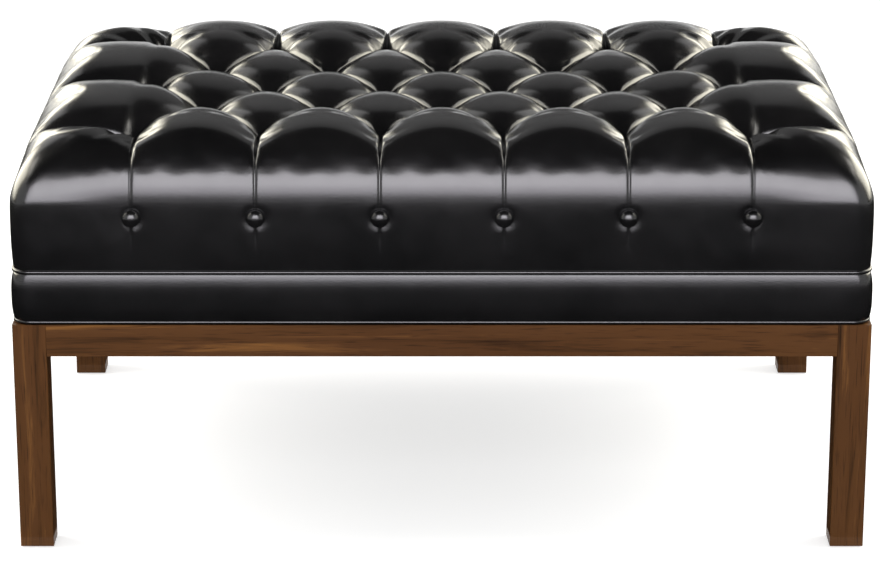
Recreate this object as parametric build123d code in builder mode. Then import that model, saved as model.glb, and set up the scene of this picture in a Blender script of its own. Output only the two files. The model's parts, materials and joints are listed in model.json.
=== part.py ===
from build123d import *
from math import asin, atan2, degrees, hypot, sqrt
import os

# A leather footstool with a diamond-tufted top on a square wooden base.
# Millimetres, +Z up, the origin on the floor under the middle, the front towards -Y.

os.makedirs("parts", exist_ok=True)

# Overall
length = 914.0
depth = 610.0

# Wooden base
base_top = 254.0
leg_side = 36.0
leg_edge_round = 1.2
apron_height = 35.0
apron_thickness = 22.0
tenon_thickness = 9.0
tenon_length = 17.0
tenon_height = 24.0
joint_clearance = 0.15
glide_radius = 10.0
glide_height = 1.5
glide_nail_radius = 1.2
glide_nail_length = 14.0
base_block_height = 24.0
base_block_reach = 70.0
block_end = 10.0
block_gap = 0.5

# Upholstery frame
rail_height = 46.0
rail_thickness = 20.0
deck_thickness = 12.0
frame_block_reach = 75.0
brace_thickness = 20.0
brace_spread_columns = 2.5
dust_cover_thickness = 0.6
dust_cover_gap = 1.0

# Screws
screw_radius = 2.1
screw_head_radius = 4.2
screw_head_height = 2.6
screw_clearance = 0.2
leg_screw_bite = 23.0
top_screw_length = 45.0
top_screw_inset = 15.0
top_screw_run = 45.0
deck_screw_length = 32.0
long_rail_screws = 3
short_rail_screws = 2

# Leather border and welts
border_thickness = 7.0
border_bulge = 1.5
corner_radius = 18.0
side_draw = 2.0
welt_radius = 2.4
soft_clearance = 0.3

# Tufted top
border_crown = 147.0
diamond_crown = 138.0
pleat_floor = 120.0
shoulder_radius = 70.0
shoulder_pleat_radius = 60.0
side_pleat_depth = 3.0
side_pleat_fade = 45.0
crown_allowance = 0.5
tuft_pitch = 131.0
row_pitch = 93.0
tuft_columns = 6
tuft_rows = 5
tuft_depth = 49.0
pleat_step = 1.0
waist_share = 0.25
tuft_mouth_radius = 34.0
funnel_bend_share = 1.2
funnel_seam_turn = 20.0
foam_height = 80.0
foam_inset = 20.0
foam_hole_radius = 8.0

# Buttons and twines
button_radius = 9.5
button_height = 6.5
button_play = 1.0
side_button_sink = 5.5
side_bend_share = 2.0
side_tuft_radius = 17.0
twine_radius = 1.0
deck_hole_radius = 4.0
toggle_radius = 8.0
toggle_thickness = 3.0

# How far a cutting tool runs past what it cuts
overrun = 5.0

# Levels and half sizes that follow
half_length = length / 2
half_depth = depth / 2
deck_bottom = base_top + rail_height
deck_top = deck_bottom + deck_thickness
border_top = deck_top + border_crown
diamond_top = deck_top + diamond_crown
pleat_level = deck_top + pleat_floor
button_level = pleat_level - shoulder_pleat_radius
tuft_seat = border_top - tuft_depth
plain_top = border_top + crown_allowance
apron_bottom = base_top - apron_height
border_half_length = half_length - side_draw
border_half_depth = half_depth - side_draw
frame_half_length = border_half_length - border_thickness
frame_half_depth = border_half_depth - border_thickness
tuft_half_length = tuft_pitch * (tuft_columns - 1) / 2
tuft_half_depth = row_pitch * (tuft_rows - 1) / 2

# The pleats of the diamonds run along two slanted families of lines, this far apart
diamond_side = hypot(tuft_pitch / 2, row_pitch)
line_pitch = tuft_pitch * row_pitch / diamond_side
diamond_lines = tuft_columns + 1 + (tuft_rows - 1) // 2

# Places of the tufts and of the buttons that end the straight pleats
tuft_places = []
for row in range(tuft_rows):
    columns = tuft_columns - row % 2
    for column in range(columns):
        tuft_x = tuft_pitch * (column - (columns - 1) / 2)
        tuft_places.append((tuft_x, row_pitch * row - tuft_half_depth))
front_pleats = [tuft_pitch * column - tuft_half_length for column in range(tuft_columns)]
end_pleats = [row_pitch * row - tuft_half_depth for row in range(0, tuft_rows, 2)]


def arch_radius(rise):
    """Radius of an arch of this rise, square to the slanted pleats."""
    return (line_pitch**2 / 4 + rise**2) / (2 * rise)


def add_arches(count, width, rise, spring):
    """Arches of one width side by side, springing from one level, in the line that is being drawn."""
    radius = arch_radius(rise)
    start = degrees(asin((radius - rise) / radius))
    for number in range(count):
        middle = width * (number - (count - 1) / 2)
        EllipticalCenterArc(
            (middle, spring + rise - radius),
            x_radius=radius * width / line_pitch,
            y_radius=radius,
            start_angle=start,
            arc_size=180 - 2 * start,
        )


def edge_waste(count, width, reach, tuft_reach):
    """What the straight pleats take from the front edge of a plain top whose front is at -reach."""
    rise = border_top - pleat_level
    half_width = width * count / 2
    ceiling = shoulder_pleat_radius + rise + overrun
    axis_y = side_pleat_depth + shoulder_pleat_radius - reach
    axis_z = button_level - pleat_step
    upright = Plane(origin=(0, axis_y, axis_z), x_dir=(1, 0, 0), z_dir=(0, -1, 0))
    level = Plane(origin=(0, axis_y, axis_z), x_dir=(1, 0, 0), z_dir=(0, 0, -1))
    lean = (side_pleat_depth + side_draw) / side_pleat_fade
    sections = []
    for plane in (upright, level):
        with BuildSketch(plane) as section:
            with BuildLine():
                add_arches(count, width, rise, shoulder_pleat_radius)
                Polyline(
                    (half_width, shoulder_pleat_radius),
                    (half_width, ceiling),
                    (-half_width, ceiling),
                    (-half_width, shoulder_pleat_radius),
                )
            make_face()
        sections.append(section.sketch)
    with BuildPart() as waste:
        extrude(sections[0], amount=2 * pleat_step - axis_y - tuft_reach, dir=(0, 1, 0))
        revolve(sections[0], Axis((0, axis_y, axis_z), (1, 0, 0)), revolution_arc=90)
        extrude(sections[1], amount=side_pleat_fade, dir=(0, -lean, -1))
    return waste.part


def ridges(rise, spring, side):
    """One slanted family of arches, whose pleats run up the rows while x grows or, for side -1, falls."""
    run = length + depth
    half_width = line_pitch * diamond_lines / 2
    along = Vector(side * tuft_pitch / 2, row_pitch, 0).normalized()
    with BuildPart() as family:
        with BuildSketch(Plane(origin=along * run, x_dir=along.cross(Vector(0, 0, 1)), z_dir=-along)):
            with BuildLine():
                add_arches(diamond_lines, line_pitch, rise, spring)
                Polyline(
                    (half_width, spring),
                    (half_width, deck_top),
                    (-half_width, deck_top),
                    (-half_width, spring),
                )
            make_face()
        extrude(amount=2 * run)
    return family.part


def field_waste(outline, rise, spring, side):
    """What one slanted family of arches takes from a plain top inside an outline."""
    with BuildPart() as waste:
        with BuildSketch(Plane.XY.offset(spring - overrun)):
            add(outline)
        extrude(amount=plain_top - spring + 2 * overrun)
        add(ridges(rise, spring, side), mode=Mode.SUBTRACT)
    return waste.part


def zigzag():
    """Corners of the outline round the whole diamonds, tuft by tuft, counterclockwise."""
    steps = 2 * (tuft_columns - 2)
    near = []
    for step in range(steps + 1):
        row = 1 if step % 2 == 0 else 2
        near.append((tuft_pitch * (step - steps / 2) / 2, -row_pitch * row))
    far = [(-x, -y) for x, y in near]
    return near + [(tuft_half_length, 0)] + far + [(-tuft_half_length, 0)]


def screw(shank_length, radius_gap=0.0):
    """A countersunk wood screw, its head's face at the origin and its shank down along -Z."""
    shank = screw_radius + radius_gap
    head = screw_head_radius + radius_gap
    with BuildPart() as one_screw:
        with BuildSketch(Plane.XZ):
            with BuildLine():
                Polyline(
                    (0, 0),
                    (head, 0),
                    (shank, -screw_head_height),
                    (shank, -shank_length),
                    (0, -shank_length),
                    close=True,
                )
            make_face()
        revolve(axis=Axis.Z)
    return one_screw.part


# Corner places, as the signs of X and Y, with their names
corners = {
    "front_left": (-1, -1),
    "front_right": (1, -1),
    "back_left": (-1, 1),
    "back_right": (1, 1),
}

# Screw places
block_top = base_top - dust_cover_thickness
block_bottom = block_top - base_block_height
apron_inner_x = half_length - apron_thickness
apron_inner_y = half_depth - apron_thickness
frame_inner_x = frame_half_length - rail_thickness
frame_inner_y = frame_half_depth - rail_thickness
leg_inner = leg_side - apron_thickness + block_gap
block_face = (base_block_reach + block_end) / 2
leg_screw_length = (block_face - leg_side + apron_thickness) * sqrt(2) + leg_screw_bite
leg_screws = []
top_screws = []
for sx, sy in corners.values():
    turn = degrees(atan2(sy, sx))
    face_x = sx * (apron_inner_x - block_face)
    face_y = sy * (apron_inner_y - block_face)
    face = Plane(
        origin=(face_x, face_y, (block_top + block_bottom) / 2),
        x_dir=(0, 0, 1),
        z_dir=(-sx, -sy, 0),
    )
    leg_screws.append(face.location)
    for dx, dy in ((top_screw_run, top_screw_inset), (top_screw_inset, top_screw_run)):
        place = (sx * (apron_inner_x - dx), sy * (apron_inner_y - dy), block_bottom)
        top_screws.append(Plane(origin=place, x_dir=(1, 0, 0), z_dir=(0, 0, -1)).location)
deck_screws = []
long_screw_pitch = 2 * frame_inner_x / (long_rail_screws + 1)
short_screw_pitch = 2 * frame_inner_y / (short_rail_screws + 1)
for side in (-1, 1):
    for number in range(long_rail_screws):
        screw_x = long_screw_pitch * (number - (long_rail_screws - 1) / 2)
        screw_y = side * (frame_half_depth - rail_thickness / 2)
        deck_screws.append(Location((screw_x, screw_y, deck_top)))
    for number in range(short_rail_screws):
        screw_x = side * (frame_half_length - rail_thickness / 2)
        screw_y = short_screw_pitch * (number - (short_rail_screws - 1) / 2)
        deck_screws.append(Location((screw_x, screw_y, deck_top)))

leg_screw = screw(leg_screw_length)
top_screw = screw(top_screw_length)
deck_screw = screw(deck_screw_length)
leg_screw_hole = screw(leg_screw_length, screw_clearance)
top_screw_hole = screw(top_screw_length, screw_clearance)
deck_screw_hole = screw(deck_screw_length, screw_clearance)

# Legs, each with a mortise for two aprons, a bore for the glide's nail and one for the block's screw
tenon_bottom = base_top - (apron_height + tenon_height) / 2
mortise_height = tenon_height + 2 * joint_clearance
mortise_thickness = tenon_thickness + 2 * joint_clearance
mortise_depth = tenon_length + joint_clearance
mortise_x = half_length - leg_side + mortise_depth / 2
mortise_y = half_depth - leg_side + mortise_depth / 2
apron_x = half_length - apron_thickness / 2
apron_y = half_depth - apron_thickness / 2
for name, (sx, sy) in corners.items():
    leg_x = sx * (half_length - leg_side / 2)
    leg_y = sy * (half_depth - leg_side / 2)
    with BuildPart() as leg:
        with BuildSketch(Plane.XY.offset(glide_height)):
            with Locations((leg_x, leg_y)):
                Rectangle(leg_side, leg_side)
        extrude(amount=base_top - glide_height)
        fillet(leg.edges().filter_by(Axis.Z), leg_edge_round)
        with BuildSketch(Plane.XY.offset(tenon_bottom - joint_clearance)):
            with Locations((sx * mortise_x, sy * apron_y)):
                Rectangle(mortise_depth, mortise_thickness)
            with Locations((sx * apron_x, sy * mortise_y)):
                Rectangle(mortise_thickness, mortise_depth)
        extrude(amount=mortise_height, mode=Mode.SUBTRACT)
        with BuildSketch(Plane.XY.offset(glide_height)):
            with Locations((leg_x, leg_y)):
                Circle(glide_nail_radius + joint_clearance)
        extrude(amount=glide_nail_length, mode=Mode.SUBTRACT)
        with Locations(*leg_screws):
            add(leg_screw_hole, mode=Mode.SUBTRACT)
    leg.part.label = f"leg_{name}"
    export_step(leg.part, f"parts/leg_{name}.step")

# Aprons, flush with the legs and tenoned into them
for name, side in (("front", -1), ("back", 1)):
    with BuildPart() as apron:
        with BuildSketch(Plane.XY.offset(apron_bottom)):
            with Locations((0, side * apron_y)):
                Rectangle(length - 2 * leg_side, apron_thickness)
        extrude(amount=apron_height)
        with BuildSketch(Plane.XY.offset(tenon_bottom)):
            with Locations((0, side * apron_y)):
                Rectangle(length - 2 * leg_side + 2 * tenon_length, tenon_thickness)
        extrude(amount=tenon_height)
    apron.part.label = f"apron_{name}"
    export_step(apron.part, f"parts/apron_{name}.step")
for name, side in (("left", -1), ("right", 1)):
    with BuildPart() as apron:
        with BuildSketch(Plane.XY.offset(apron_bottom)):
            with Locations((side * apron_x, 0)):
                Rectangle(apron_thickness, depth - 2 * leg_side)
        extrude(amount=apron_height)
        with BuildSketch(Plane.XY.offset(tenon_bottom)):
            with Locations((side * apron_x, 0)):
                Rectangle(tenon_thickness, depth - 2 * leg_side + 2 * tenon_length)
        extrude(amount=tenon_height)
    apron.part.label = f"apron_{name}"
    export_step(apron.part, f"parts/apron_{name}.step")

# Foot glides: a disc with a rounded rim and the nail that holds it
with BuildPart() as glide:
    with BuildSketch(Plane.XZ):
        with BuildLine():
            Line((0, 0), (glide_radius - glide_height, 0))
            RadiusArc((glide_radius - glide_height, 0), (glide_radius, glide_height), -glide_height)
            Polyline(
                (glide_radius, glide_height),
                (glide_nail_radius, glide_height),
                (glide_nail_radius, glide_height + glide_nail_length - joint_clearance),
                (0, glide_height + glide_nail_length - joint_clearance),
                (0, 0),
            )
        make_face()
    revolve(axis=Axis.Z)
with BuildPart() as foot_glides:
    with GridLocations(length - leg_side, depth - leg_side, 2, 2):
        add(glide.part)
foot_glides.part.label = "foot_glides"
export_step(foot_glides.part, "parts/foot_glides.step")

# Base corner blocks, notched round the legs
with BuildPart() as base_corner_blocks:
    with BuildSketch(Plane.XY.offset(block_bottom)):
        for sx, sy in corners.values():
            block_outline = [
                (leg_inner, 0),
                (base_block_reach, 0),
                (base_block_reach, block_end),
                (block_end, base_block_reach),
                (0, base_block_reach),
                (0, leg_inner),
                (leg_inner, leg_inner),
            ]
            block_corners = [(sx * (apron_inner_x - x), sy * (apron_inner_y - y)) for x, y in block_outline]
            with BuildLine():
                Polyline(*block_corners, close=True)
            make_face()
    extrude(amount=base_block_height)
    with Locations(*leg_screws):
        add(leg_screw_hole, mode=Mode.SUBTRACT)
    with Locations(*top_screws):
        add(top_screw_hole, mode=Mode.SUBTRACT)
base_corner_blocks.part.label = "base_corner_blocks"
export_step(base_corner_blocks.part, "parts/base_corner_blocks.step")

with BuildPart() as corner_block_screws:
    with Locations(*leg_screws):
        add(leg_screw)
corner_block_screws.part.label = "corner_block_screws"
export_step(corner_block_screws.part, "parts/corner_block_screws.step")

with BuildPart() as top_mounting_screws:
    with Locations(*top_screws):
        add(top_screw)
top_mounting_screws.part.label = "top_mounting_screws"
export_step(top_mounting_screws.part, "parts/top_mounting_screws.step")

# Dust cover, stapled under the frame and cut round the legs
with BuildPart() as dust_cover:
    with BuildSketch(Plane.XY.offset(block_top)):
        Rectangle(2 * (apron_inner_x - dust_cover_gap), 2 * (apron_inner_y - dust_cover_gap))
        with GridLocations(length - leg_side, depth - leg_side, 2, 2):
            Rectangle(leg_side + 2 * dust_cover_gap, leg_side + 2 * dust_cover_gap, mode=Mode.SUBTRACT)
    extrude(amount=dust_cover_thickness)
    with Locations(*top_screws):
        add(top_screw_hole, mode=Mode.SUBTRACT)
dust_cover.part.label = "dust_cover"
export_step(dust_cover.part, "parts/dust_cover.step")

# Upholstery frame: two long rails, two short ones between them, braces and corner blocks
for name, side in (("front", -1), ("back", 1)):
    with BuildPart() as rail:
        with BuildSketch(Plane.XY.offset(base_top)):
            with Locations((0, side * (frame_half_depth - rail_thickness / 2))):
                Rectangle(2 * frame_half_length, rail_thickness)
        extrude(amount=rail_height)
        with Locations(*deck_screws):
            add(deck_screw_hole, mode=Mode.SUBTRACT)
    rail.part.label = f"frame_rail_{name}"
    export_step(rail.part, f"parts/frame_rail_{name}.step")
for name, side in (("left", -1), ("right", 1)):
    with BuildPart() as rail:
        with BuildSketch(Plane.XY.offset(base_top)):
            with Locations((side * (frame_half_length - rail_thickness / 2), 0)):
                Rectangle(rail_thickness, 2 * frame_inner_y)
        extrude(amount=rail_height)
        with Locations(*deck_screws):
            add(deck_screw_hole, mode=Mode.SUBTRACT)
    rail.part.label = f"frame_rail_{name}"
    export_step(rail.part, f"parts/frame_rail_{name}.step")

# The braces stand between two columns of tufts, so that they miss the toggles
with BuildPart() as frame_braces:
    with BuildSketch(Plane.XY.offset(base_top)):
        with GridLocations(tuft_pitch * brace_spread_columns, 0, 2, 1):
            Rectangle(brace_thickness, 2 * frame_inner_y)
    extrude(amount=rail_height)
frame_braces.part.label = "frame_braces"
export_step(frame_braces.part, "parts/frame_braces.step")

with BuildPart() as frame_corner_blocks:
    with BuildSketch(Plane.XY.offset(base_top)):
        for sx, sy in corners.values():
            block_outline = [
                (0, 0),
                (frame_block_reach, 0),
                (frame_block_reach, block_end),
                (block_end, frame_block_reach),
                (0, frame_block_reach),
            ]
            block_corners = [(sx * (frame_inner_x - x), sy * (frame_inner_y - y)) for x, y in block_outline]
            with BuildLine():
                Polyline(*block_corners, close=True)
            make_face()
    extrude(amount=rail_height)
    with Locations(*top_screws):
        add(top_screw_hole, mode=Mode.SUBTRACT)
frame_corner_blocks.part.label = "frame_corner_blocks"
export_step(frame_corner_blocks.part, "parts/frame_corner_blocks.step")

# Deck with a hole under each tuft
with BuildPart() as deck:
    with BuildSketch(Plane.XY.offset(deck_bottom)):
        Rectangle(2 * frame_half_length, 2 * frame_half_depth)
        with Locations(*tuft_places):
            Circle(deck_hole_radius, mode=Mode.SUBTRACT)
    extrude(amount=deck_thickness)
    with Locations(*deck_screws):
        add(deck_screw_hole, mode=Mode.SUBTRACT)
deck.part.label = "deck"
export_step(deck.part, "parts/deck.step")

with BuildPart() as deck_screw_set:
    with Locations(*deck_screws):
        add(deck_screw)
deck_screw_set.part.label = "deck_screws"
export_step(deck_screw_set.part, "parts/deck_screws.step")

# Welts: piping round the band's lower and upper edges
lower_welt_level = base_top + welt_radius + soft_clearance


def border_path(level):
    """The right half of the border's outline at one level, from the front's middle to the back's."""
    with BuildLine(Plane.XY.offset(level)) as right_half:
        FilletPolyline(
            (0, -border_half_depth),
            (border_half_length, -border_half_depth),
            (border_half_length, border_half_depth),
            (0, border_half_depth),
            radius=corner_radius,
        )
    return right_half.wire()


def border_section(level):
    """The plane square to that outline at its start, its X outwards and its Y up."""
    return Plane(origin=(0, -border_half_depth, level), x_dir=(0, -1, 0), z_dir=(-1, 0, 0))


def welt(level, radius):
    """A ring of piping round the border at one level."""
    with BuildPart() as ring:
        with BuildSketch(border_section(level)):
            Circle(radius)
        sweep(path=border_path(level))
        mirror(about=Plane.YZ)
    return ring.part


for name, level in (("lower_welt", lower_welt_level), ("upper_welt", deck_top)):
    piping = welt(level, welt_radius)
    piping.label = name
    export_step(piping, f"parts/{name}.step")
lower_welt_space = welt(lower_welt_level, welt_radius + soft_clearance)
upper_welt_space = welt(deck_top, welt_radius + soft_clearance)

# Border band: leather over wadding round the rails, a little swollen between the welts
with BuildPart() as border_band:
    band_height = deck_top - base_top
    with BuildSketch(border_section(base_top)):
        with BuildLine():
            ThreePointArc((0, 0), (border_bulge, band_height / 2), (0, band_height))
            Polyline(
                (0, band_height),
                (-border_thickness / 2, band_height),
                (-border_thickness / 2, 0),
                (0, 0),
            )
        make_face()
    sweep(path=border_path(base_top))
    mirror(about=Plane.YZ)
    with BuildSketch(Plane.XY.offset(base_top)):
        RectangleRounded(2 * border_half_length, 2 * border_half_depth, corner_radius)
    extrude(amount=band_height)
    with BuildSketch(Plane.XY.offset(base_top)):
        Rectangle(2 * frame_half_length, 2 * frame_half_depth)
    extrude(amount=band_height, mode=Mode.SUBTRACT)
    add(lower_welt_space, mode=Mode.SUBTRACT)
    add(upper_welt_space, mode=Mode.SUBTRACT)
border_band.part.label = "border_band"
export_step(border_band.part, "parts/border_band.step")

# Foam core, drilled under each tuft
with BuildPart() as foam_core:
    with BuildSketch(Plane.XY.offset(deck_top)):
        Rectangle(length - 2 * foam_inset, depth - 2 * foam_inset)
        with Locations(*tuft_places):
            Circle(foam_hole_radius, mode=Mode.SUBTRACT)
    extrude(amount=foam_height)
foam_core.part.label = "foam_core"
export_step(foam_core.part, "parts/foam_core.step")

# What one deep tuft and one side tuft take from the cover: a funnel down to the button's seat
tuft_floor_radius = button_radius + button_play
with BuildPart() as tuft_hollow:
    with BuildSketch(Plane.XZ):
        with BuildLine():
            Line((0, tuft_seat), (tuft_floor_radius, tuft_seat))
            RadiusArc(
                (tuft_floor_radius, tuft_seat),
                (tuft_mouth_radius, border_top),
                tuft_depth * funnel_bend_share,
            )
            Polyline(
                (tuft_mouth_radius, border_top),
                (tuft_mouth_radius, border_top + overrun),
                (0, border_top + overrun),
                (0, tuft_seat),
            )
        make_face()
    revolve(axis=Axis.Z)
with BuildPart() as side_hollow:
    with BuildSketch(Plane.XZ):
        with BuildLine():
            Line((0, -side_button_sink), (tuft_floor_radius, -side_button_sink))
            RadiusArc(
                (tuft_floor_radius, -side_button_sink),
                (side_tuft_radius, 0),
                side_bend_share * side_button_sink,
            )
            Polyline(
                (side_tuft_radius, 0),
                (side_tuft_radius, overrun),
                (0, overrun),
                (0, -side_button_sink),
            )
        make_face()
    revolve(axis=Axis.Z)
side_places = {
    "front": [Plane((x, -half_depth, button_level), (1, 0, 0), (0, -1, 0)).location for x in front_pleats],
    "back": [Plane((x, half_depth, button_level), (1, 0, 0), (0, 1, 0)).location for x in front_pleats],
    "left": [Plane((-half_length, y, button_level), (0, 1, 0), (-1, 0, 0)).location for y in end_pleats],
    "right": [Plane((half_length, y, button_level), (0, 1, 0), (1, 0, 0)).location for y in end_pleats],
}

# What the pleats take from the top: the straight ones over the edges, then the slanted ones between the
# tufts, whose outer half diamonds rise as high as the border and whose whole diamonds stay lower.
# The zones overlap or stand apart by a small step, so that no two of their faces coincide.
front_waste = edge_waste(tuft_columns + 1, tuft_pitch, half_depth, tuft_half_depth)
end_waste = edge_waste((tuft_rows + 3) // 2, 2 * row_pitch, half_length, tuft_half_length)
with BuildSketch() as tuft_outline:
    Rectangle(2 * (tuft_half_length + pleat_step), 2 * (tuft_half_depth + pleat_step))
with BuildSketch() as diamond_outline:
    with BuildLine():
        Polyline(*zigzag(), close=True)
    make_face()
    offset(amount=-pleat_step / 2, kind=Kind.INTERSECTION, mode=Mode.REPLACE)
diamond_spring = pleat_level - pleat_step / 2
field_wastes = []
border_rise = border_top - pleat_level
diamond_rise = diamond_top - diamond_spring
for side in (-1, 1):
    field_wastes.append(field_waste(tuft_outline.sketch, border_rise, pleat_level, side))
for side in (-1, 1):
    field_wastes.append(field_waste(diamond_outline.sketch, diamond_rise, diamond_spring, side))

# Tufted cover: leather and wadding over the foam, plain at first, then tufted, then pleated
with BuildPart() as tufted_cover:
    with BuildSketch(Plane.XY.offset(deck_top)):
        RectangleRounded(length + side_draw, depth + side_draw, corner_radius)
    extrude(amount=plain_top - deck_top + overrun)
    for plane, half_width, run in (
        (Plane.XZ.offset(-depth), half_length, 2 * depth),
        (Plane.YZ.offset(-length), half_depth, 2 * length),
    ):
        turn_level = plain_top - shoulder_radius
        seam = half_width - side_draw
        waist = half_width - side_draw * waist_share
        waist_level = (deck_top + turn_level) / 2
        with BuildSketch(plane):
            with BuildLine():
                Line((-seam, deck_top), (seam, deck_top))
                ThreePointArc((seam, deck_top), (waist, waist_level), (half_width, turn_level))
                RadiusArc(
                    (half_width, turn_level),
                    (half_width - shoulder_radius, plain_top),
                    -shoulder_radius,
                )
                Line((half_width - shoulder_radius, plain_top), (shoulder_radius - half_width, plain_top))
                RadiusArc(
                    (shoulder_radius - half_width, plain_top),
                    (-half_width, turn_level),
                    -shoulder_radius,
                )
                ThreePointArc((-half_width, turn_level), (-waist, waist_level), (-seam, deck_top))
            make_face()
        extrude(amount=run, mode=Mode.INTERSECT)
    for place in tuft_places:
        with Locations(place):
            add(tuft_hollow.part, rotation=(0, 0, funnel_seam_turn), mode=Mode.SUBTRACT, clean=False)
    for waste, turn in (
        (front_waste, 0),
        (front_waste, 180),
        (end_waste, 90),
        (end_waste, -90),
    ):
        add(waste, rotation=(0, 0, turn), mode=Mode.SUBTRACT, clean=False)
    for waste in field_wastes:
        add(waste, mode=Mode.SUBTRACT, clean=False)
    for places in side_places.values():
        for place in places:
            with Locations(place):
                add(side_hollow.part, mode=Mode.SUBTRACT, clean=False)
    add(upper_welt_space, mode=Mode.SUBTRACT)
    with BuildSketch(Plane.XY.offset(deck_top)):
        Rectangle(length - 2 * foam_inset, depth - 2 * foam_inset)
    extrude(amount=foam_height + soft_clearance, mode=Mode.SUBTRACT)
    with BuildSketch(Plane.XY.offset(deck_top)):
        with Locations(*tuft_places):
            Circle(twine_radius + soft_clearance)
    extrude(amount=tuft_seat - deck_top, mode=Mode.SUBTRACT)
tufted_cover.part.label = "tufted_cover"
export_step(tufted_cover.part, "parts/tufted_cover.step")

# Covered buttons: a dome on its flat back, sunk in each tuft
with BuildPart() as button:
    with BuildSketch(Plane.XZ):
        with BuildLine():
            dome_radius = (button_radius**2 + button_height**2) / (2 * button_height)
            Line((0, 0), (button_radius, 0))
            RadiusArc((button_radius, 0), (0, button_height), -dome_radius)
            Line((0, button_height), (0, 0))
        make_face()
    revolve(axis=Axis.Z)
with BuildPart() as top_buttons:
    with Locations(*[(x, y, tuft_seat + soft_clearance) for x, y in tuft_places]):
        add(button.part)
top_buttons.part.label = "top_buttons"
export_step(top_buttons.part, "parts/top_buttons.step")
button_back = Location((0, 0, soft_clearance - side_button_sink))
for name, places in side_places.items():
    with BuildPart() as side_buttons:
        with Locations(*[place * button_back for place in places]):
            add(button.part)
    side_buttons.part.label = f"{name}_buttons"
    export_step(side_buttons.part, f"parts/{name}_buttons.step")

# Tufting twines, from the buttons' backs through cover, foam and deck, and the toggles that hold them
with BuildPart() as tufting_twines:
    with BuildSketch(Plane.XY.offset(deck_bottom)):
        with Locations(*tuft_places):
            Circle(twine_radius)
    extrude(amount=tuft_seat + soft_clearance - deck_bottom)
tufting_twines.part.label = "tufting_twines"
export_step(tufting_twines.part, "parts/tufting_twines.step")
with BuildPart() as twine_toggles:
    with BuildSketch(Plane.XY.offset(deck_bottom - toggle_thickness)):
        with Locations(*tuft_places):
            Circle(toggle_radius)
    extrude(amount=toggle_thickness)
twine_toggles.part.label = "twine_toggles"
export_step(twine_toggles.part, "parts/twine_toggles.step")
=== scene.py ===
"""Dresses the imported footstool: tufted leather, piping, buttons, walnut base and a plain studio."""

import json
import logging
import math
from collections.abc import Callable, Sequence
from dataclasses import dataclass, field
from enum import Enum
from functools import cached_property

import bpy
import numpy as np
from mathutils import Matrix, Vector
from mathutils.kdtree import KDTree

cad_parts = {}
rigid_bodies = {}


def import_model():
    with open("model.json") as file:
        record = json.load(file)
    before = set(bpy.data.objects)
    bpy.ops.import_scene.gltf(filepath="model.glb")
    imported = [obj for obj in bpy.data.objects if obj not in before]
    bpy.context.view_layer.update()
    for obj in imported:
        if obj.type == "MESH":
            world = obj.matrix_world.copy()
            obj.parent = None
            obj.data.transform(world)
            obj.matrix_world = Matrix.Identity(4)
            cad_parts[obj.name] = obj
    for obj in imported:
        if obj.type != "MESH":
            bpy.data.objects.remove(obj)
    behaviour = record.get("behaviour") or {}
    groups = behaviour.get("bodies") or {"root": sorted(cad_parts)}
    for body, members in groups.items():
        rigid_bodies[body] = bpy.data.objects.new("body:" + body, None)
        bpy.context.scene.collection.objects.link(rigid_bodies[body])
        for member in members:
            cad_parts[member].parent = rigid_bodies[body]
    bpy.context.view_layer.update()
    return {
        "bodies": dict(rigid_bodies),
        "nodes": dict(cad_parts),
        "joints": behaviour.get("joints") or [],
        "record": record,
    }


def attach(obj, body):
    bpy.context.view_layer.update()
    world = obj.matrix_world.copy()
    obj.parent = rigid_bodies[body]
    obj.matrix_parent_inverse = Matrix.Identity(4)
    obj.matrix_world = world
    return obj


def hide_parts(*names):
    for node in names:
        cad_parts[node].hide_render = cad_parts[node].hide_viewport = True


LOG = logging.getLogger("footstool")
ROOT_BODY = "root"
TOUCH = 1e-6
TINY = 1e-12
MICROMETRES = 1e6

Node = bpy.types.Node
Piece = bpy.types.Object
Colour = tuple[float, float, float]
Point = tuple[float, float, float]
Stops = Sequence[tuple[float, Colour]]
Inputs = dict[str | int, object]


class GrainAxis(Enum):
    """The way a board's grain runs, as the turn that brings it to the pattern's Z."""

    ALONG_X = (0.0, math.pi / 2, 0.0)
    ALONG_Y = (math.pi / 2, 0.0, 0.0)
    ALONG_Z = (0.0, 0.0, 0.0)


# Node trees


class NodeGraph:
    """A node tree, with short ways to add and join nodes."""

    def __init__(self, tree: bpy.types.NodeTree) -> None:
        """Start with no nodes."""
        self.tree = tree
        self.tree.nodes.clear()

    def add(self, kind: str, inputs: Inputs | None = None, **settings: object) -> Node:
        """Add a node.

        Args:
            kind: The node's type name.
            inputs: Values of its own sockets.
            **settings: Its properties.

        Returns:
            The new node.
        """
        node = self.tree.nodes.new(kind)
        for key, value in settings.items():
            setattr(node, key, value)
        for key, value in (inputs or {}).items():
            node.inputs[key].default_value = value
        return node

    def join(self, source: Node, output: str | int, target: Node, socket: str | int) -> None:
        """Link one node's output to another node's input."""
        self.tree.links.new(source.outputs[output], target.inputs[socket])

    def seeing_rays(self) -> Node:
        """Tell the rays that see, straight, mirrored or through clear pieces, from those that light.

        Returns:
            The Math node, whose value is 1 for the rays that see and 0 for the others.
        """
        path = self.add("ShaderNodeLightPath")
        seen = self.add("ShaderNodeMath", operation="MAXIMUM")
        clear = self.add("ShaderNodeMath", operation="MAXIMUM")
        self.join(path, "Is Camera Ray", seen, 0)
        self.join(path, "Is Glossy Ray", seen, 1)
        self.join(seen, 0, clear, 0)
        self.join(path, "Is Transmission Ray", clear, 1)
        return clear


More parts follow.
